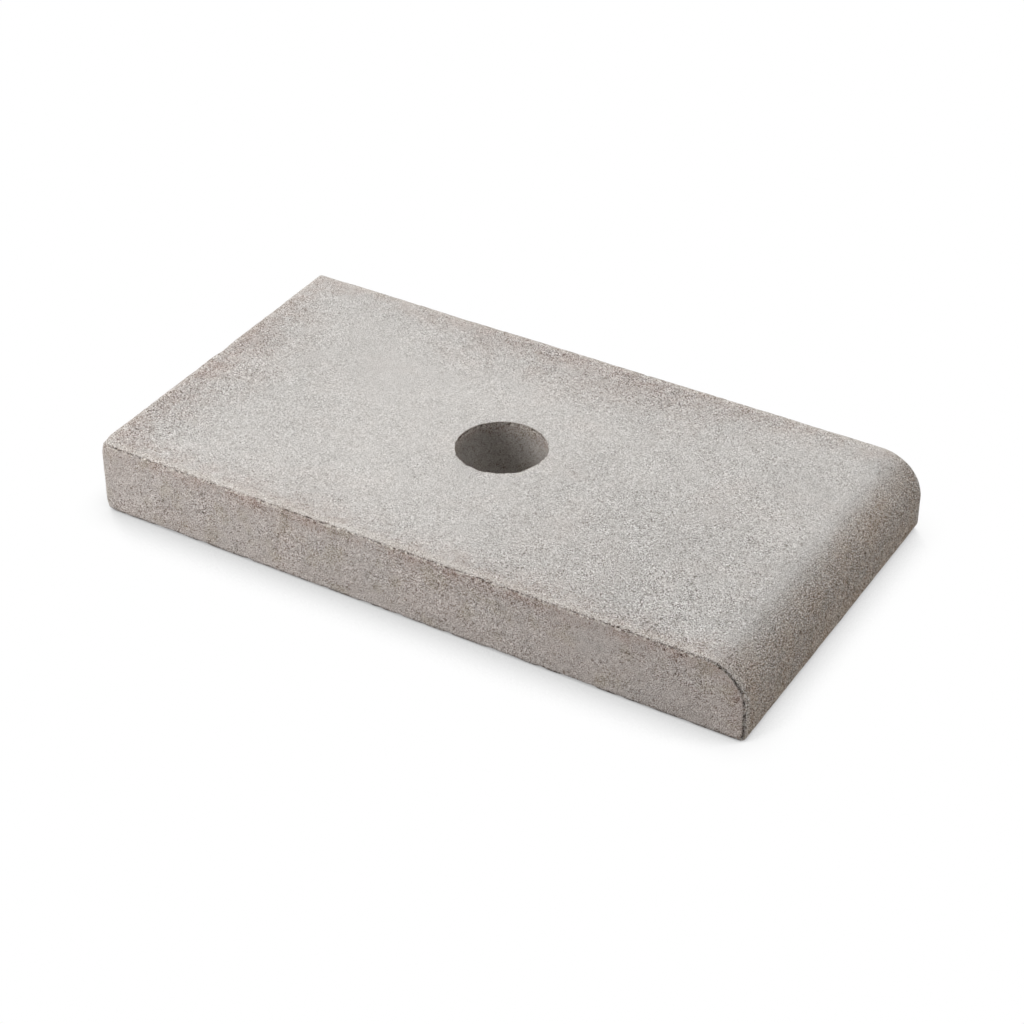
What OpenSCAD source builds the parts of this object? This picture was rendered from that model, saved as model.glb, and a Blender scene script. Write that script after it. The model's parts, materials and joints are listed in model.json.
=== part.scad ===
// Concrete kerb stone: a flat pressed slab with one end rounded over to a nose,
// and a plain hole right through it.
// +X points to the nose, +Y runs along it and +Z is up.
// The origin is at the middle of the underside.

/* [Slab] */
// Length, from the square end to the tip of the nose
stone_length = 350; // [250:1:600]
// Width, measured along the nose
stone_width = 190; // [120:1:400]
// Thickness
stone_thickness = 40; // [32:1:80]

/* [Nose] */
// Radius of the quarter-round along the top of the nose
nose_radius = 22; // [6:1:28]
// Radius of the foot, where the nose turns under
foot_radius = 4; // [4:0.5:8]

/* [Hole] */
// Diameter of the hole
hole_diameter = 45; // [16:1:100]
// Distance from the square end to the axis of the hole
hole_setback = 170; // [70:1:260]

/* [Edges] */
// Radius of the blunt arris round the top and bottom faces and down the sides of the nose
arris_radius = 2; // [0.5:0.1:2.8]
// Radius of the two upright corners at the square end
corner_radius = 3; // [3:0.5:12]

/* [Hidden] */
$fn = 96;

// How far every cut runs past the faces that it opens
overrun = 1;

concrete_colour = [0.74, 0.72, 0.69];

half_width = stone_width / 2;
nose_tip = stone_length / 2;
square_end = -stone_length / 2;
// The axis that the nose is rounded about
nose_axis_x = nose_tip - nose_radius;
nose_axis_z = stone_thickness - nose_radius;
// Where the foot starts to turn up from the underside
foot_axis_x = nose_tip - foot_radius;
// The axis of each upright corner at the square end
corner_axis_x = square_end + corner_radius;
corner_axis_y = half_width - corner_radius;

// What a rounding takes off a square corner at the origin, with the stone below and to the left of it
module corner_waste(radius) {
    translate([-radius, -radius])
        difference() {
            square(radius + overrun);
            circle(radius);
        }
}

// Waste along a straight edge that runs along +X, with the stone on the -Y and -Z sides of it
module straight_waste(edge_length) {
    rotate([90, 0, 90])
        linear_extrude(edge_length)
            corner_waste(arris_radius);
}

// Waste round a quarter turn from +X to +Y, with the stone inside the turn and below it
module turned_waste(turn_radius) {
    rotate_extrude(angle = 90)
        translate([turn_radius, 0])
            corner_waste(arris_radius);
}

// The stone from the side, as X and Z: a square end, a quarter-round nose and its foot
module side_outline() {
    difference() {
        union() {
            translate([square_end, 0])
                square([stone_length - nose_radius, stone_thickness]);
            translate([square_end, 0])
                square([stone_length, stone_thickness - nose_radius]);
            translate([nose_axis_x, nose_axis_z])
                circle(nose_radius);
        }
        translate([nose_tip, 0])
            mirror([0, 1])
                corner_waste(foot_radius);
    }
}

// The stone from above, as X and Y
module plan_outline() {
    difference() {
        translate([square_end, -half_width])
            square([stone_length, stone_width]);
        for (side = [0, 1])
            mirror([0, side]) {
                translate([nose_tip, half_width])
                    corner_waste(arris_radius);
                translate([square_end, half_width])
                    mirror([1, 0])
                        corner_waste(corner_radius);
            }
    }
}

// Waste along the rim of a level face: one long edge, one upright corner and half of the square end
module rim_waste(long_edge_end) {
    translate([corner_axis_x, half_width, 0])
        straight_waste(long_edge_end - corner_axis_x);
    translate([corner_axis_x, corner_axis_y, 0])
        rotate([0, 0, 90])
            turned_waste(corner_radius);
    translate([square_end, -overrun, 0])
        rotate([0, 0, 90])
            straight_waste(corner_axis_y + overrun);
}

// Waste along the edges of one side of the stone, the +Y side
module side_waste() {
    translate([0, 0, stone_thickness])
        rim_waste(nose_axis_x);
    mirror([0, 0, 1])
        rim_waste(foot_axis_x);
    translate([nose_axis_x, half_width, nose_axis_z])
        rotate([-90, -90, 0])
            turned_waste(nose_radius);
    translate([foot_axis_x, half_width, foot_radius])
        rotate([-90, 0, 0])
            turned_waste(foot_radius);
}

module hole() {
    translate([square_end + hole_setback, 0, -overrun])
        cylinder(d = hole_diameter, h = stone_thickness + 2 * overrun);
}

module kerb_stone() {
    color(concrete_colour)
        difference() {
            intersection() {
                rotate([90, 0, 0])
                    linear_extrude(stone_width, center = true)
                        side_outline();
                linear_extrude(stone_thickness)
                    plan_outline();
            }
            for (side = [0, 1])
                mirror([0, side, 0])
                    side_waste();
            hole();
        }
}

kerb_stone();
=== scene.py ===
"""Concrete kerb stone: a pressed slab with a rounded nose and a plain hole, lying on a pale floor."""
import itertools
import json
import math

import bmesh
import bpy
import numpy as np
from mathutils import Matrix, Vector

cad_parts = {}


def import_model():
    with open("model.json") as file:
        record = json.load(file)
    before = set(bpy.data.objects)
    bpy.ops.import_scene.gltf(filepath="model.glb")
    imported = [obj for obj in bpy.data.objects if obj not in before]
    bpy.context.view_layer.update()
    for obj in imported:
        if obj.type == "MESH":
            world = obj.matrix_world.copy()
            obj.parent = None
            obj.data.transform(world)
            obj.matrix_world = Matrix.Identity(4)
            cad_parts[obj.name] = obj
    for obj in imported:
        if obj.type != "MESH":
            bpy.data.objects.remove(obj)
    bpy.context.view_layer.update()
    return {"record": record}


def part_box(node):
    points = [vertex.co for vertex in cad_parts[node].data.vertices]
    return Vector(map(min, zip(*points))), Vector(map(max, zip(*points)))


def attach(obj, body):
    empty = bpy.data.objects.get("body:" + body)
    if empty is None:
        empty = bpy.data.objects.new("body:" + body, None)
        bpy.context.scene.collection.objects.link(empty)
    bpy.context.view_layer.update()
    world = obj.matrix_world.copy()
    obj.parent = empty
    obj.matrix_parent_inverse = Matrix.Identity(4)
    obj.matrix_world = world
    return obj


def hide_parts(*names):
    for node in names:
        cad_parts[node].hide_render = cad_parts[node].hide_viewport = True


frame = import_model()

# Sizes of the stone, in millimetres
MM = 0.001
LOW, HIGH = (np.array(corner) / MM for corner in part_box("kerb_stone"))
LENGTH, WIDTH, THICKNESS = HIGH - LOW
HOLE = next(mount for mount in frame["record"]["mounts"] if mount["name"] == "hole")
HOLE_RADIUS = HOLE["dims"]["r_mm"]
HOLE_X = HOLE["pos_m"][0] / MM
NOSE_RADIUS = 22.0
FOOT_RADIUS = 4.0
ARRIS_RADIUS = 2.0
CORNER_RADIUS = 2.0
RIM_RADIUS = 0.2
NOSE_TIP = HIGH[0]
SQUARE_END = LOW[0]
HALF_WIDTH = HIGH[1]
NOSE_X = NOSE_TIP - NOSE_RADIUS
NOSE_Z = THICKNESS - NOSE_RADIUS
FOOT_X = NOSE_TIP - FOOT_RADIUS
HALF_NOSE = NOSE_RADIUS * math.pi / 4

# Spacing of the mesh, in millimetres
FINE_STEP = 0.30
COARSE_STEP = 1.75
STEP_GROWTH = 0.10
STEP_SAMPLES = 4001
WINDOW_CELLS = 40
COLLAR_RINGS = 9
COLLAR_GROWTH = 1.6
RIM_STEPS = 4
WELD = 0.0005 * MM

# A distance that counts as none, and the shares of a normal that count as nothing and as all of it
TINY = 1e-9
NO_SHARE, FULL_SHARE = 1e-6, 1 - 1e-9

# Numbers that mix a cell's place into a random one, and how far each seed moves the cells
CELL_PRIMES = np.array([73856093, 19349663, 83492791])
SEED_PRIME, FIRST_PRIME, SECOND_PRIME = 2654435761, 1274126177, 974634541
SEED_SHIFT = 0.37

# Wear, in millimetres. The skin keeps the lumps within the stone's box
SKIN = 0.2
SWELL_HEIGHT_SIZE_SEED = ((0.10, 55, 1), (0.06, 17, 2), (0.05, 6, 3), (0.05, 2.7, 4))
PORE_SPACING, PORE_RADIUS, PORE_DEPTH, PORE_SEED = 15, 2.3, 0.7, 20
SMALLEST_PORE = 0.35
CRUMB_DEPTH, CHIP_DEPTH, FOOT_CHIP_DEPTH = 0.3, 0.5, 0.6
GROOVE_AT, GROOVE_REACH, GROOVE_DEPTH = 0.7, 0.7, 0.7
HOLE_RIM_REACH, HOLE_RIM_DROP, HOLE_RIM_LUMPS, HOLE_RIM_CHIPS = 0.9, 1.2, 0.22, 0.3
HOLE_SEAM_TURN = math.radians(71)
HOLE_SEAM_HEIGHT, HOLE_SEAM_REACH = 0.2, 0.7

# Size and seed of the noise that places each kind of wear
CRUMB_NOISE, LOSS_NOISE, CHIP_NOISE, FOOT_CHIP_NOISE = (3.1, 5), (8, 6), (14, 7), (4.5, 11)
DASH_NOISE, HOLE_LUMP_NOISE, HOLE_CHIP_NOISE = (3.0, 8), (1.7, 9), (3, 10)

# How near to the wall of the hole a point no longer belongs to the outer edges
HOLE_CLEAR = 4

# Height, depth and reach of the wear at the two corners where the square end meets the near side
WORN_CORNERS = ((0, 0.7, 6.5), (THICKNESS, 0.9, 8))
WORN_CORE = 1

# Middle and reach of the smooth and of the rough spot on top
CALM_SPOT = (-40.0, 14.0, 88.0)
ROUGH_SPOT = (110.0, -60.0, 70.0)
CALM_END, ROUGH_SIDE = 0.5, 0.3

# How hard the die pressed the edges: lightly along the slab and fully at the nose
LIGHT_PRESS = 0.3

# Colours
PALE = (0.585, 0.562, 0.538, 1)
BROWN = (0.41, 0.32, 0.278, 1)
UMBER = (0.51, 0.415, 0.333, 1)
OCHRE = (0.42, 0.37, 0.30, 1)
GREY = (0.42, 0.42, 0.41, 1)
CROWN = (0.64, 0.595, 0.55, 1)
CRUMB = (0.74, 0.69, 0.63, 1)
# Painted shade in the mould's groove, and painted contact shade with some dirt on the arris at the ground
SHADE_AND_DIRT = (0.12, 0.10, 0.085, 1)
# Painted shade, darker deeper down the hole
PAINTED_HOLE_SHADE = (0.237, 0.228, 0.208, 1)
WHITE = (1, 1, 1, 1)
FLOOR_COLOUR = (0.8, 0.8, 0.8, 1)

# Sand grain: sizes in millimetres, and how much darker or brighter it makes a spot
GRAIN_SIZE, GRAIN_SHADE = 0.66, 0.1
DUST_SIZE, DUST_SHADE = 0.37, 0.61
PIT_LEVEL, PIT_SHADE = 0.12, 0.4
GAP_SIZE, GAP_SPOT_SIZE, PINHOLE_SIZE = 1.2, 2.2, 2.4
GAP_SHADE_TOP, GAP_SHADE_SIDE = 0.14, 0.34
GAP_HEIGHT = 3.0
GRAIN_LIFT = 0.042
GRAIN_LEVEL = 0.5
GRAIN_PATCH_SIZE = 12
GRAIN_STRENGTH = 1.02
MORE_GRAIN = (
    ("rough", 0.35), ("nose", 0.5), ("shoulder", 0.95), ("aged", 0.52), ("calm", -0.28), ("hole", -0.55),
)
BUMP_STRENGTH, BUMP_DISTANCE = 0.5, 0.4 * MM
SPECULAR = 0.3

# Blotches: sizes in millimetres, and shares of the colours
BROAD_SIZE, BLOTCH_SIZE, EDGE_SIZE, AGED_SIZE = 60, 16, 8, 11
OCHRE_SIZE, GREY_SIZE, CLOUD_SIZE, FLECK_SIZE = 13, 22, 30, 4.5
BLOTCH_BROWN, WALL_BROWN, NOSE_BROWN, EDGE_BROWN = 0.4, 0.4, 0.2, 0.27
# The last of these is the share of painted shade deep in the hole
OCHRE_SHARE, GREY_SHARE, PAINTED_HOLE_SHADE_SHARE = 0.45, 0.36, 0.53
MOTTLE = 0.04
MORE_LIGHT = (("aged", -0.04), ("rough", -0.04), ("side", 0.04), ("calm", 0.025))

# Painted shade: the dark line in the mould's groove round the rim, in millimetres from where the arris begins
LINE_AT, LINE_WOBBLE = 0.8, 0.45
WOBBLE_SIZE, DASH_SIZE, CRUMB_SIZE, SHADE_AND_DIRT_SIZE = 2.2, 4.0, 1.6, 4.0

# What a light and a full press make of the line's half width, the line and the crumbs
LINE_HALF_WIDTHS, LINE_SHARES, CRUMB_SHARES = (0.45, 1.0), (0.62, 0.8), (1.0, 0.4)

# Camera and lamps, in metres, degrees and watts. A lamp has a name, a place, a width and a power
CAMERA_PLACE = (0.51565, -0.86697, 0.71358)
CAMERA_DOWN, CAMERA_TURN = 35.142, 30.701
LENS_LENGTH, SENSOR_WIDTH = 88.70, 36
LAMPS = (
    ("overhead", (0.06, 0.22, 0.97), 0.9, 6.6),
    ("front fill", (-0.70, -0.70, 0.575), 0.8, 9.5),
    ("back fill", (-0.656, 0.656, 0.375), 0.7, 1.3),
    ("nose fill", (0.77, 0.15, 0.60), 0.7, 1.3),
)
AMBIENT = 0.02

# Floor and the shade on it, in metres
FLOOR_REACH = 6
CONTACT_REACH, CONTACT_FALL, CONTACT_SHADE = 0.018, 1.5, 0.5
CONTACT_LEAN = {"X": 0.12, "Y": 0.08, "Z": 0.99}
HOLLOW_REACH, HOLLOW_SHADE = 0.1, 0.75


def stations(length, count=None):
    """Distances from 0 to length, closest together at both ends."""
    reach = np.linspace(0, length, STEP_SAMPLES)
    step = np.minimum(FINE_STEP + STEP_GROWTH * np.minimum(reach, length - reach), COARSE_STEP)
    passed = np.concatenate([[0], np.cumsum(np.diff(reach) / step[1:])])
    count = count or round(passed[-1])
    return np.interp(np.linspace(0, passed[-1], count + 1), passed, reach)


def top_line(s):
    """X and Z along the top, from the square end to half way round the nose."""
    turn = np.maximum(s - (LENGTH - NOSE_RADIUS), 0) / NOSE_RADIUS
    flat = np.minimum(s, LENGTH - NOSE_RADIUS)
    return np.stack([SQUARE_END + flat + NOSE_RADIUS * np.sin(turn), NOSE_Z + NOSE_RADIUS * np.cos(turn)], -1)


def nose_line(s):
    """X and Z from half way round the nose down to its foot."""
    turn = math.pi / 4 + np.minimum(s, HALF_NOSE) / NOSE_RADIUS
    land = np.maximum(s - HALF_NOSE, 0)
    return np.stack([NOSE_X + NOSE_RADIUS * np.sin(turn), NOSE_Z + NOSE_RADIUS * np.cos(turn) - land], -1)


def bottom_line(s):
    """X and Z along the underside, from the square end to the nose."""
    return np.stack([SQUARE_END + s, np.zeros_like(s)], -1)


def end_line(s):
    """X and Z down the square end."""
    return np.stack([np.full_like(s, SQUARE_END), THICKNESS - s], -1)


def swept(line, across):
    """A grid of points: a line of X and Z carried along Y."""
    grid = np.empty((len(line), len(across), 3))
    grid[:, :, 0] = line[:, None, 0]
    grid[:, :, 1] = across
    grid[:, :, 2] = line[:, None, 1]
    return grid


def side_face(top, bottom, end, nose, y):
    """A grid of points between the four lines round one side of the stone."""
    u = np.linspace(0, 1, len(top))[:, None, None]
    v = np.linspace(0, 1, len(end))[None, :, None]
    along = (1 - v) * top[:, None] + v * bottom[:, None]
    down = (1 - u) * end[None] + u * nose[None]
    corners = (1 - u) * ((1 - v) * top[0] + v * bottom[0]) + u * ((1 - v) * top[-1] + v * bottom[-1])
    flat = along + down - corners
    return np.stack([flat[..., 0], np.full(flat.shape[:2], y), flat[..., 1]], -1)


def limited(a, b, centre_a, centre_b, reach):
    """Pulls points of a plane to within reach of their centres."""
    apart = np.maximum(np.hypot(a - centre_a, b - centre_b), TINY)
    share = np.minimum(1, reach / apart)
    return centre_a + (a - centre_a) * share, centre_b + (b - centre_b) * share


def blunted(points):
    """Moves points of the sharp-edged stone to its blunt surface. Returns them with their normals."""
    x, y, z = points.T
    core_x = np.minimum(x, NOSE_TIP - ARRIS_RADIUS)
    core_y = np.clip(y, -HALF_WIDTH + ARRIS_RADIUS, HALF_WIDTH - ARRIS_RADIUS)
    core_z = np.clip(z, ARRIS_RADIUS, THICKNESS - ARRIS_RADIUS)
    corner_x = np.maximum(x, SQUARE_END + CORNER_RADIUS)
    corner_y = np.clip(y, -HALF_WIDTH + CORNER_RADIUS, HALF_WIDTH - CORNER_RADIUS)
    square = x < 0
    end_x, end_y = limited(x, y, corner_x, corner_y, CORNER_RADIUS - ARRIS_RADIUS)
    core_x, core_y = np.where(square, end_x, core_x), np.where(square, end_y, core_y)
    for centre_x, centre_z, radius, here in (
        (NOSE_X, NOSE_Z, NOSE_RADIUS, (x > NOSE_X) & (z > NOSE_Z)),
        (FOOT_X, FOOT_RADIUS, FOOT_RADIUS, (x > FOOT_X) & (z < FOOT_RADIUS)),
    ):
        round_x, round_z = limited(x, z, centre_x, centre_z, radius - ARRIS_RADIUS)
        core_x, core_z = np.where(here, round_x, core_x), np.where(here, round_z, core_z)
    core = np.stack([core_x, core_y, core_z], -1)
    normals = points - core
    normals /= np.linalg.norm(normals, axis=1, keepdims=True)
    return core + ARRIS_RADIUS * normals, normals


class Shell:
    """Collects the vertices, normals and faces of one closed surface."""

    def __init__(self):
        self.points, self.normals, self.faces, self.count = [], [], [], 0

    def add(self, points, normals=None):
        """Adds a grid of vertices and returns the grid of their numbers."""
        flat = points.reshape(-1, 3)
        if normals is None:
            flat, normals = blunted(flat)
        self.points.append(flat)
        self.normals.append(normals.reshape(-1, 3))
        numbers = self.count + np.arange(len(flat)).reshape(points.shape[:-1])
        self.count += len(flat)
        return numbers

    def skin(self, numbers, keep=None, closed=False):
        """Adds the faces between neighbouring vertices of a grid, which may close on itself."""
        if closed:
            numbers = np.concatenate([numbers, numbers[:, :1]], 1)
        quads = np.stack([numbers[:-1, :-1], numbers[1:, :-1], numbers[1:, 1:], numbers[:-1, 1:]], -1)
        self.faces.append(quads[keep] if keep is not None else quads.reshape(-1, 4))


def window(grid):
    """The first row and column of the cells round the hole that its collar takes the place of."""
    row = np.abs(grid[:, 0, 0] - HOLE_X).argmin() - WINDOW_CELLS // 2
    column = np.abs(grid[0, :, 1]).argmin() - WINDOW_CELLS // 2
    return row, column


def window_loop(grid, row, column):
    """The points round the window, in order."""
    n = WINDOW_CELLS
    ahead, back = np.arange(n), np.arange(n, 0, -1)
    rows = row + np.concatenate([ahead, np.full(n, n), back, np.zeros(n, int)])
    columns = column + np.concatenate([np.zeros(n, int), ahead, np.full(n, n), back])
    return grid[rows, columns]


def level_face(shell, grid):
    """Adds the top or the underside, with a round collar at the hole. Returns the directions of the collar."""
    row, column = window(grid)
    keep = np.ones((grid.shape[0] - 1, grid.shape[1] - 1), bool)
    keep[row:row + WINDOW_CELLS, column:column + WINDOW_CELLS] = False
    shell.skin(shell.add(grid), keep)
    loop = window_loop(grid, row, column)
    angles = -3 * math.pi / 4 + np.arange(len(loop)) * 2 * math.pi / len(loop)
    radius = HOLE_RADIUS + RIM_RADIUS
    circle = np.stack([HOLE_X + radius * np.cos(angles), radius * np.sin(angles), loop[:, 2]], -1)
    share = np.linspace(0, 1, COLLAR_RINGS + 1)[:, None, None] ** COLLAR_GROWTH
    shell.skin(shell.add((1 - share) * circle + share * loop), closed=True)
    return angles


def hole_wall(shell, angles):
    """Adds the wall of the hole, with a small round at each rim."""
    turn = np.linspace(0, math.pi / 2, RIM_STEPS + 1)
    depth = stations(THICKNESS - 2 * RIM_RADIUS)[1:-1] + RIM_RADIUS
    flare, drop = RIM_RADIUS * (1 - np.sin(turn)), RIM_RADIUS * (1 - np.cos(turn))
    radius = HOLE_RADIUS + np.concatenate([flare, np.zeros(len(depth)), flare[::-1]])[:, None]
    height = np.concatenate([THICKNESS - drop, THICKNESS - depth, drop[::-1]])[:, None]
    rise = np.concatenate([np.cos(turn), np.zeros(len(depth)), -np.cos(turn[::-1])])[:, None]
    inward = np.sqrt(1 - np.minimum(rise ** 2, 1))
    across, along = np.cos(angles), np.sin(angles)
    level = np.ones(len(angles))
    points = np.stack([HOLE_X + radius * across, radius * along, height * level], -1)
    normals = np.stack([-inward * across, -inward * along, rise * level], -1)
    shell.skin(shell.add(points, normals), closed=True)


def smooth_stone():
    """The whole stone before any wear: points, normals and faces."""
    shell = Shell()
    across = stations(WIDTH) - HALF_WIDTH
    length = stations(LENGTH - NOSE_RADIUS + HALF_NOSE)
    height = stations(THICKNESS)
    rows, levels = len(length) - 1, len(height) - 1
    top, bottom = top_line(length), bottom_line(stations(LENGTH, rows))
    end, nose = end_line(height), nose_line(stations(HALF_NOSE + NOSE_Z, levels))
    level_face(shell, swept(top, across))
    angles = level_face(shell, swept(bottom, across))
    for line in (end, nose):
        shell.skin(shell.add(swept(line, across)))
    for y in (-HALF_WIDTH, HALF_WIDTH):
        shell.skin(shell.add(side_face(top, bottom, end, nose, y)))
    hole_wall(shell, angles)
    return np.concatenate(shell.points), np.concatenate(shell.normals), np.concatenate(shell.faces)


def hashed(cells, seed):
    """An even number from 0 to 1 for each whole-numbered cell."""
    mixed = cells @ CELL_PRIMES + seed * SEED_PRIME
    mixed = (mixed ^ (mixed >> 13)) * FIRST_PRIME
    mixed = (mixed ^ (mixed >> 16)) * SECOND_PRIME
    return ((mixed >> 8) & 0xFFFF) / 0xFFFF


def noise(points, size, seed):
    """Smooth noise from -1 to 1, with lumps of about the given size."""
    cell = points / size + SEED_SHIFT * seed
    base = np.floor(cell).astype(np.int64)
    part = cell - base
    part = part * part * (3 - 2 * part)
    total = np.zeros(len(points))
    for corner in itertools.product((0, 1), repeat=3):
        weight = np.prod(np.where(corner, part, 1 - part), axis=1)
        total += weight * hashed(base + np.array(corner), seed)
    return 2 * total - 1


def pores(points):
    """How far each point lies inside round pores strewn through the stone, from 0 to 1."""
    base = np.floor(points / PORE_SPACING).astype(np.int64)
    found = np.zeros(len(points))
    for step in itertools.product((-1, 0, 1), repeat=3):
        cell = base + np.array(step)
        within = np.stack([hashed(cell, PORE_SEED + k) for k in range(3)], -1)
        share = SMALLEST_PORE + (1 - SMALLEST_PORE) * hashed(cell, PORE_SEED + 3) ** 2
        apart = np.linalg.norm(points - (cell + within) * PORE_SPACING, axis=1)
        found = np.maximum(found, 1 - (apart / (PORE_RADIUS * share)) ** 2)
    return found


def smoothstep(low, high, value):
    """From 0 at low to 1 at high, with a soft start and end."""
    share = np.clip((value - low) / (high - low), 0, 1)
    return share * share * (3 - 2 * share)


def band(value, centre, reach):
    """1 at the centre, falling softly to nothing at about twice the reach."""
    return np.exp(-((value - centre) / reach) ** 2)


def spot(x, y, place):
    """1 at the middle of a spot, falling softly to nothing at about twice its reach."""
    centre_x, centre_y, reach = place
    return band(np.hypot(x - centre_x, y - centre_y), 0, reach)


def bore_distance(points):
    """Distance from the wall of the hole."""
    return np.hypot(points[:, 0] - HOLE_X, points[:, 1]) - HOLE_RADIUS


def crest(part):
    """1 where a normal leans half way, and 0 where it has nothing or all of this part."""
    return 2 * np.abs(part) * np.sqrt(np.clip(1 - part ** 2, 0, 1))


def arris_share(points, normals):
    """From 0 on the faces to 1 on the crown of a blunt edge."""
    end = np.where(points[:, 0] < 0, crest(normals[:, 0]), 0)
    return np.where(bore_distance(points) < HOLE_CLEAR, 0, np.maximum(crest(normals[:, 1]), end))


def rim_distance(points, normals):
    """Distance over the surface from the line where the die met the mould: below it on the walls it is negative."""
    x, y, z = points.T
    crown = ARRIS_RADIUS * math.pi / 2
    inland = np.maximum(np.minimum(HALF_WIDTH - ARRIS_RADIUS - np.abs(y), x - SQUARE_END - ARRIS_RADIUS), 0)
    rise, lean = np.clip(normals[:, 2], 0, 1), np.abs(normals[:, 1])
    slab = np.where(rise > NO_SHARE, ARRIS_RADIUS * np.arcsin(rise), z - THICKNESS + ARRIS_RADIUS)
    slab = np.where(rise > FULL_SHARE, crown + inland, slab)
    depth = np.where(z > NOSE_Z, NOSE_RADIUS - np.hypot(x - NOSE_X, z - NOSE_Z), NOSE_TIP - x) - ARRIS_RADIUS
    nose = np.where(lean > FULL_SHARE, -depth, ARRIS_RADIUS * np.arccos(np.minimum(lean, 1)))
    nose = np.where(lean < NO_SHARE, crown + inland, nose)
    under = (normals[:, 2] < -NO_SHARE) & (x < FOOT_X)
    return np.where(under, -THICKNESS, np.where(x > NOSE_X, nose, slab))


def wear(points, normals, in_hole, rim, press):
    """How far each point has sunk below the smooth stone."""
    x, y, z = points.T
    arris, bore = arris_share(points, normals), bore_distance(points)
    swell = sum(height * noise(points, size, seed) for height, size, seed in SWELL_HEIGHT_SIZE_SEED)
    sunk = np.where(in_hole, 0, SKIN) - swell
    sunk += PORE_DEPTH * np.maximum(pores(points), 0)

    losses = smoothstep(0.25, 0.7, noise(points, *LOSS_NOISE))
    crumbs = 0.5 * np.abs(noise(points, *CRUMB_NOISE)) + 0.5 * losses
    chips = smoothstep(0.45, 0.8, noise(points, *CHIP_NOISE))
    foot_chips = smoothstep(0.15, 0.6, noise(points, *FOOT_CHIP_NOISE)) * (z < ARRIS_RADIUS)
    sunk += arris * (CRUMB_DEPTH * crumbs + CHIP_DEPTH * chips + FOOT_CHIP_DEPTH * foot_chips)
    dashes = smoothstep(-0.4, 0.2, noise(points, *DASH_NOISE))
    sunk += GROOVE_DEPTH * press * dashes * band(rim, GROOVE_AT, GROOVE_REACH)

    hole_rim = band(bore, 0, HOLE_RIM_REACH) * band(z, THICKNESS, HOLE_RIM_DROP)
    hole_chips = smoothstep(0.4, 0.7, noise(points, *HOLE_CHIP_NOISE))
    sunk += hole_rim * (HOLE_RIM_LUMPS * noise(points, *HOLE_LUMP_NOISE) + HOLE_RIM_CHIPS * hole_chips)
    turn = np.arctan2(y, x - HOLE_X) - HOLE_SEAM_TURN
    sunk -= HOLE_SEAM_HEIGHT * in_hole * band(HOLE_RADIUS * turn, 0, HOLE_SEAM_REACH)
    for height, depth, reach in WORN_CORNERS:
        apart = np.linalg.norm(points - [SQUARE_END, -HALF_WIDTH, height], axis=1)
        sunk += depth * (1 - smoothstep(WORN_CORE, reach, apart))
    return np.where(in_hole, sunk, np.maximum(sunk, 0))


def surface_marks(points, normals, in_hole, rim, press):
    """What the material needs to know at each point: the rim's distance, and shares from 0 to 1."""
    x, y, z = points.T
    from_end, outside = x - SQUARE_END, bore_distance(points) > HOLE_CLEAR
    side = 1 - smoothstep(0.1, 0.95, np.abs(normals[:, 2]))
    level = 1 - side
    nose = smoothstep(0.2, 1, normals[:, 0]) * outside
    low_down = (1 - smoothstep(0.8, 2.8, z)) * smoothstep(-1, -0.8, normals[:, 2])
    aged_end = smoothstep(55, 0, from_end) * smoothstep(HALF_WIDTH, 20, y)
    aged_back = smoothstep(HALF_WIDTH - 60, HALF_WIDTH, y) * smoothstep(-130, -40, x) * smoothstep(150, 20, x)
    return {
        "side": side,
        "rim": rim,
        "press": press,
        # Painted contact shade, with some dirt, on the arris at the ground
        "foot": low_down * (x < FOOT_X) * outside,
        "nose": nose,
        "shoulder": nose * smoothstep(2, 26, z),
        # Deeper down the hole: painted shade there, and calmer grain
        "hole": in_hole * smoothstep(-3, 10, THICKNESS - z),
        "aged": level * np.maximum(aged_end, aged_back),
        "rough": level * spot(x, y, ROUGH_SPOT) + ROUGH_SIDE * side,
        "calm": level * np.maximum(spot(x, y, CALM_SPOT), CALM_END * smoothstep(60, 10, from_end)),
    }


def worn_stone():
    """The stone with its unevenness, pores and chipped edges: points, faces and marks."""
    points, normals, faces = smooth_stone()
    in_hole = bore_distance(points) < 0.5 * RIM_RADIUS
    rim = rim_distance(points, normals)
    press = LIGHT_PRESS + (1 - LIGHT_PRESS) * smoothstep(NOSE_X - 4, NOSE_X + 9, points[:, 0])
    marks = surface_marks(points, normals, in_hole, rim, press)
    points = points - normals * wear(points, normals, in_hole, rim, press)[:, None]
    return np.clip(points, LOW, HIGH), faces, marks


def stone_piece():
    """Builds the stone's mesh."""
    points, faces, marks = worn_stone()
    mesh = bpy.data.meshes.new("stone")
    mesh.from_pydata((points * MM).tolist(), [], faces.tolist())
    for name, values in marks.items():
        mesh.attributes.new(name, "FLOAT", "POINT").data.foreach_set("value", values.astype(np.float32))
    shape = bmesh.new()
    shape.from_mesh(mesh)
    bmesh.ops.remove_doubles(shape, verts=shape.verts, dist=WELD)
    bmesh.ops.delete(shape, geom=[v for v in shape.verts if not v.link_faces], context="VERTS")
    bmesh.ops.recalc_face_normals(shape, faces=shape.faces)
    triangles = sum(len(face.verts) - 2 for face in shape.faces)
    open_edges = sum(not edge.is_manifold for edge in shape.edges)
    print("stone: vertices", len(shape.verts), "triangles", triangles, "open edges", open_edges)
    shape.to_mesh(mesh)
    shape.free()
    mesh.polygons.foreach_set("use_smooth", [True] * len(mesh.polygons))
    piece = bpy.data.objects.new("stone", mesh)
    bpy.context.scene.collection.objects.link(piece)
    return piece


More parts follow.
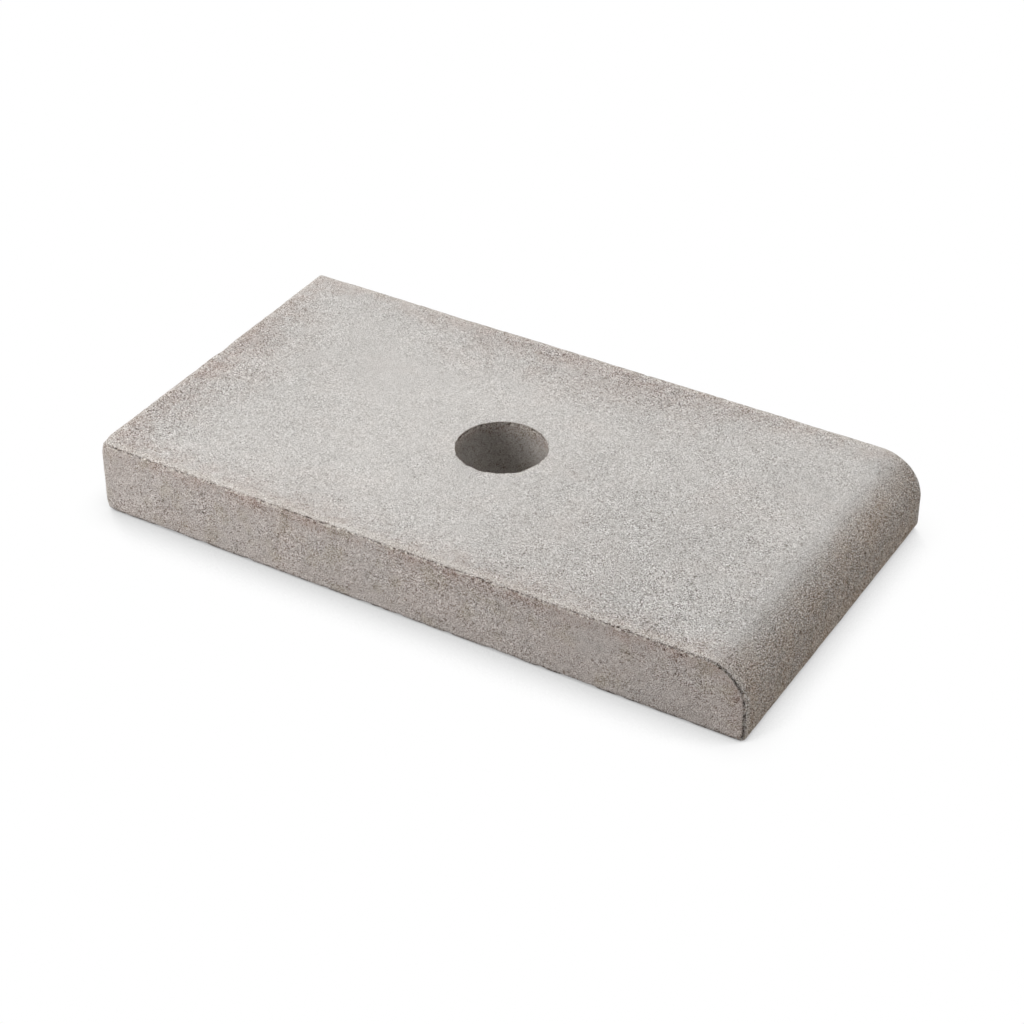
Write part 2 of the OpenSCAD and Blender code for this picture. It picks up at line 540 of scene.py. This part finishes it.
class Graph:
    """Builds a node tree. A number or colour is set on a socket, and another node's output is linked to it."""

    def __init__(self, tree):
        self.tree = tree

    def join(self, socket, value):
        """Sets or links one socket."""
        if isinstance(value, bpy.types.NodeSocket):
            self.tree.links.new(value, socket)
        else:
            socket.default_value = value

    def add(self, kind, settings=None, inputs=None):
        """Adds a node with its settings and inputs."""
        node = self.tree.nodes.new(kind)
        for name, value in (settings or {}).items():
            setattr(node, name, value)
        for name, value in (inputs or {}).items():
            self.join(node.inputs[name], value)
        return node

    def noise(self, place, size, detail=3.0, roughness=0.55):
        """Cloudy noise from 0 to 1, with lumps of about the given size in millimetres."""
        inputs = {"Vector": place, "Scale": 1 / (size * MM), "Detail": detail, "Roughness": roughness}
        return self.add("ShaderNodeTexNoise", {}, inputs).outputs["Fac"]

    def cells(self, place, size):
        """Grains of about the given size in millimetres: the distance from each one's middle, and its random colour."""
        node = self.add("ShaderNodeTexVoronoi", {"feature": "F1"}, {"Vector": place, "Scale": 1 / (size * MM)})
        return node.outputs["Distance"], node.outputs["Color"]

    def between(self, value, low, high, to_low=0.0, to_high=1.0, kind="LINEAR"):
        """Turns a value between low and high into one between two others."""
        names = {"Value": value, "From Min": low, "From Max": high, "To Min": to_low, "To Max": to_high}
        return self.add("ShaderNodeMapRange", {"interpolation_type": kind}, names).outputs["Result"]

    def ranged(self, value, low, high, to_low=0.0, to_high=1.0):
        """The same with a soft start and end."""
        return self.between(value, low, high, to_low, to_high, "SMOOTHSTEP")

    def spots(self, place, size, detail, low, high, to_low=0.0, to_high=1.0):
        """Soft-edged spots of about the given size in millimetres, where noise goes from low to high."""
        return self.ranged(self.noise(place, size, detail), low, high, to_low, to_high)

    def math(self, operation, a, b=0.0, clamp=False):
        """One step of arithmetic."""
        node = self.add("ShaderNodeMath", {"operation": operation, "use_clamp": clamp})
        self.join(node.inputs[0], a)
        self.join(node.inputs[1], b)
        return node.outputs[0]

    def plus(self, a, b):
        """The sum of two values."""
        return self.math("ADD", a, b)

    def minus(self, a, b):
        """The first value less the second."""
        return self.math("SUBTRACT", a, b)

    def times(self, a, b):
        """The product of two values."""
        return self.math("MULTIPLY", a, b)

    def mixed(self, share, a, b, blend="MIX"):
        """Two colours mixed."""
        settings = {"data_type": "RGBA", "blend_type": blend, "clamp_result": True}
        node = self.add("ShaderNodeMix", settings)
        for number, value in ((0, share), (6, a), (7, b)):
            self.join(node.inputs[number], value)
        return node.outputs[2]

    def mark(self, name):
        """One of the surface's marks."""
        return self.add("ShaderNodeAttribute", {"attribute_name": name}).outputs["Fac"]

    def grey(self, level):
        """A grey of the given level."""
        return self.add("ShaderNodeCombineColor", {}, {"Red": level, "Green": level, "Blue": level}).outputs[0]

    def first(self, colour):
        """The first channel of a colour."""
        return self.add("ShaderNodeSeparateColor", {}, {"Color": colour}).outputs[0]


def sand(graph, place, side, strength):
    """Grain of the sand: how much brighter each spot is than the mean, and its height."""
    apart, colour = graph.cells(place, GRAIN_SIZE)
    shade = graph.between(graph.first(colour), 0.0, 1.0, -GRAIN_SHADE, GRAIN_SHADE)
    dust = graph.between(graph.noise(place, DUST_SIZE, 0.0), 0.25, 0.75, -DUST_SHADE, DUST_SHADE)
    pits = graph.math("MINIMUM", graph.plus(dust, PIT_LEVEL), 0.0)
    crooked = graph.math("ABSOLUTE", graph.minus(graph.noise(place, GAP_SIZE, 0.0), 0.5))
    gaps = graph.ranged(crooked, 0.01, 0.06, 1.0, 0.0)
    gaps = graph.times(gaps, graph.spots(place, GAP_SPOT_SIZE, 1.0, 0.42, 0.6))
    pinholes = graph.spots(place, PINHOLE_SIZE, 1.0, 0.64, 0.74)
    gaps = graph.times(graph.plus(gaps, pinholes), graph.between(side, 0.0, 1.0, GAP_SHADE_TOP, GAP_SHADE_SIDE))
    bright = graph.minus(graph.plus(shade, dust), graph.minus(gaps, graph.times(pits, PIT_SHADE)))
    bright = graph.plus(graph.times(bright, strength), GRAIN_LIFT)
    height = graph.minus(dust, graph.plus(apart, graph.times(gaps, GAP_HEIGHT)))
    return bright, graph.times(height, strength)


def tones(graph, place, side):
    """The broad colours: pale on top, browner on the walls, the edges and the nose, with grey blotches."""
    rim, nose = graph.mark("rim"), graph.mark("nose")
    blotch = graph.noise(place, BLOTCH_SIZE)
    broad = graph.spots(place, BROAD_SIZE, 3.0, 0.35, 0.75, -0.08, 0.2)
    brown = graph.times(graph.plus(broad, graph.ranged(blotch, 0.35, 0.7, -0.09, 0.12)), BLOTCH_BROWN)
    edge = graph.times(graph.ranged(rim, 2.0, 24.0, EDGE_BROWN, 0.0), graph.ranged(rim, -9.0, -1.0))
    edge = graph.times(edge, graph.spots(place, EDGE_SIZE, 3.0, 0.35, 0.65, 0.5, 1.4))
    wall = graph.times(side, graph.between(nose, 0.0, 1.0, WALL_BROWN, NOSE_BROWN))
    aged = graph.times(graph.mark("aged"), graph.spots(place, AGED_SIZE, 4.0, 0.38, 0.62, 0.08, 0.32))
    for share in (edge, wall, aged):
        brown = graph.plus(brown, share)
    tone = graph.mixed(graph.math("MINIMUM", graph.math("MAXIMUM", brown, 0.0), 1.0), PALE, BROWN)
    tone = graph.mixed(graph.times(nose, graph.ranged(blotch, 0.35, 0.65, 0.75, 1.0)), tone, UMBER)
    ochre = graph.spots(place, OCHRE_SIZE, 2.0, 0.5, 0.68, 0.0, OCHRE_SHARE)
    tone = graph.mixed(graph.times(side, ochre), tone, OCHRE)
    grey = graph.spots(place, GREY_SIZE, 3.0, 0.5, 0.72, 0.0, GREY_SHARE)
    tone = graph.mixed(graph.times(grey, graph.between(side, 0.0, 1.0, 0.3, 0.45)), tone, GREY)
    clouds = graph.between(graph.noise(place, CLOUD_SIZE, 2.0), 0.3, 0.7, -MOTTLE, MOTTLE)
    flecks = graph.between(graph.noise(place, FLECK_SIZE, 2.0), 0.3, 0.7, -MOTTLE, MOTTLE)
    light = graph.plus(clouds, graph.times(flecks, graph.between(side, 0.0, 1.0, 1.0, 2.0)))
    for name, more in MORE_LIGHT:
        light = graph.plus(light, graph.times(graph.mark(name), more))
    return graph.mixed(1.0, tone, graph.grey(graph.plus(light, 1.0)), "MULTIPLY")


def edges(graph, place, tone):
    """The pale crumbs left by the mould along the rim, a broken dark line of painted shade in its groove, and painted
    contact shade with some dirt on the arris at the ground.
    """
    press = graph.mark("press")
    wobble = graph.between(graph.noise(place, WOBBLE_SIZE, 2.0), 0.25, 0.75, -LINE_WOBBLE, LINE_WOBBLE)
    rim = graph.plus(graph.mark("rim"), wobble)
    half_width, line_share, crumb_share = (
        graph.between(press, LIGHT_PRESS, 1.0, *ends) for ends in (LINE_HALF_WIDTHS, LINE_SHARES, CRUMB_SHARES)
    )
    line = graph.math("DIVIDE", graph.math("ABSOLUTE", graph.minus(rim, LINE_AT)), half_width)
    line = graph.times(graph.ranged(line, 0.6, 1.15, 1.0, 0.0), graph.spots(place, DASH_SIZE, 1.0, 0.38, 0.48))
    crumbs = graph.times(graph.ranged(rim, -0.9, -0.3), graph.ranged(rim, 0.9, 1.5, 1.0, 0.0))
    crumbs = graph.times(crumbs, graph.spots(place, CRUMB_SIZE, 0.0, 0.52, 0.6, 0.0, 0.75))
    crown = graph.times(graph.ranged(rim, 1.0, 1.8), graph.ranged(rim, 2.5, 7.0, 0.55, 0.0))
    foot = graph.times(graph.mark("foot"), graph.spots(place, SHADE_AND_DIRT_SIZE, 2.0, 0.35, 0.6, 0.5, 1.0))
    tone = graph.mixed(crown, tone, CROWN)
    # Painted shade in the mould's groove
    tone = graph.mixed(graph.times(line, line_share), tone, SHADE_AND_DIRT)
    tone = graph.mixed(graph.times(crumbs, crumb_share), tone, CRUMB)
    # Painted contact shade with some dirt on the arris at the ground
    return graph.mixed(foot, tone, SHADE_AND_DIRT)


def concrete():
    """Sandy grey concrete."""
    material = bpy.data.materials.new("concrete")
    material.use_nodes = True
    graph = Graph(material.node_tree)
    place = graph.add("ShaderNodeTexCoord").outputs["Object"]
    shader = material.node_tree.nodes["Principled BSDF"]
    side = graph.mark("side")
    strength = GRAIN_STRENGTH
    for name, more in MORE_GRAIN:
        strength = graph.plus(graph.times(graph.mark(name), more), strength)
    patchy = graph.ranged(graph.noise(place, GRAIN_PATCH_SIZE, 3.0, 0.6), 0.3, 0.7, 0.8, 1.1)
    bright, height = sand(graph, place, side, graph.times(patchy, strength))
    tone = edges(graph, place, tones(graph, place, side))
    # Painted shade, darker deeper down the hole
    tone = graph.mixed(graph.times(graph.mark("hole"), PAINTED_HOLE_SHADE_SHARE), tone, PAINTED_HOLE_SHADE)
    tone = graph.mixed(1.0, tone, graph.grey(graph.times(bright, GRAIN_LEVEL)), "ADD")
    relief = {"Strength": BUMP_STRENGTH, "Distance": BUMP_DISTANCE, "Height": height}
    graph.join(shader.inputs["Base Color"], tone)
    graph.join(shader.inputs["Normal"], graph.add("ShaderNodeBump", {}, relief).outputs["Normal"])
    graph.join(shader.inputs["Roughness"], graph.ranged(bright, -0.2, 0.2, 0.98, 0.86))
    shader.inputs["Specular IOR Level"].default_value = SPECULAR
    return material


def camera():
    """The photograph's view."""
    lens = bpy.data.cameras.new("camera")
    lens.sensor_width = SENSOR_WIDTH
    lens.lens = LENS_LENGTH
    view = bpy.data.objects.new("camera", lens)
    view.location = CAMERA_PLACE
    view.rotation_euler = (math.radians(90 - CAMERA_DOWN), 0, math.radians(CAMERA_TURN))
    bpy.context.scene.collection.objects.link(view)
    bpy.context.scene.camera = view


def area_lamp(name, place, width, power):
    """A round soft lamp that points at the origin."""
    lamp = bpy.data.lights.new(name, "AREA")
    lamp.shape = "DISK"
    lamp.size = width
    lamp.energy = power
    holder = bpy.data.objects.new(name, lamp)
    holder.location = place
    x, y, z = place
    holder.rotation_euler = (math.atan2(math.hypot(x, y), z), 0, math.atan2(x, -y))
    bpy.context.scene.collection.objects.link(holder)


def seen_directly(graph):
    """1 for the rays that show a surface to the camera, also in a reflection or through glass."""
    path = graph.add("ShaderNodeLightPath")
    seen = graph.plus(path.outputs["Is Camera Ray"], path.outputs["Is Glossy Ray"])
    return graph.math("ADD", seen, path.outputs["Is Transmission Ray"], clamp=True)


def world():
    """A white backdrop that gives little light of its own."""
    sky = bpy.data.worlds.new("studio")
    sky.use_nodes = True
    bpy.context.scene.world = sky
    graph = Graph(sky.node_tree)
    background = sky.node_tree.nodes["Background"]
    background.inputs["Color"].default_value = WHITE
    graph.join(background.inputs["Strength"], graph.ranged(seen_directly(graph), 0.0, 1.0, AMBIENT, 1.0))


def floor_shade(graph):
    """How dark the floor is close to the stone and in its hole."""
    contact = graph.add("ShaderNodeAmbientOcclusion", {"samples": 8}, {"Distance": CONTACT_REACH})
    leaning = graph.add("ShaderNodeCombineXYZ", {}, CONTACT_LEAN)
    graph.join(contact.inputs["Normal"], leaning.outputs[0])
    beside = graph.math("POWER", graph.minus(1.0, contact.outputs["AO"]), CONTACT_FALL)
    hollow = graph.add("ShaderNodeAmbientOcclusion", {"samples": 4}, {"Distance": HOLLOW_REACH})
    inside = graph.ranged(hollow.outputs["AO"], 0.15, 0.42, HOLLOW_SHADE, 0.0)
    return graph.math("MAXIMUM", graph.times(beside, CONTACT_SHADE), inside)


def floor_material():
    """White where it is seen, apart from the stone's soft shadow, and a pale matt surface to other light."""
    material = bpy.data.materials.new("floor")
    material.use_nodes = True
    nodes = material.node_tree.nodes
    nodes.remove(nodes["Principled BSDF"])
    graph = Graph(material.node_tree)
    white = graph.add("ShaderNodeEmission", {}, {"Color": graph.grey(graph.minus(1.0, floor_shade(graph)))})
    matt = graph.add("ShaderNodeBsdfDiffuse", {}, {"Color": FLOOR_COLOUR})
    both = graph.add("ShaderNodeMixShader", {}, {"Fac": seen_directly(graph)})
    graph.join(both.inputs[1], matt.outputs[0])
    graph.join(both.inputs[2], white.outputs[0])
    graph.join(nodes["Material Output"].inputs["Surface"], both.outputs[0])
    return material


def floor():
    """The level floor under the stone."""
    mesh = bpy.data.meshes.new("floor")
    corners = [(x * FLOOR_REACH, y * FLOOR_REACH, 0) for x, y in ((-1, -1), (1, -1), (1, 1), (-1, 1))]
    mesh.from_pydata(corners, [], [(0, 1, 2, 3)])
    mesh.materials.append(floor_material())
    ground = bpy.data.objects.new("floor", mesh)
    bpy.context.scene.collection.objects.link(ground)


stone = stone_piece()
stone.data.materials.append(concrete())
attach(stone, "root")
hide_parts("kerb_stone")
camera()
world()
for lamp in LAMPS:
    area_lamp(*lamp)
floor()
bpy.context.scene.view_settings.view_transform = "Standard"
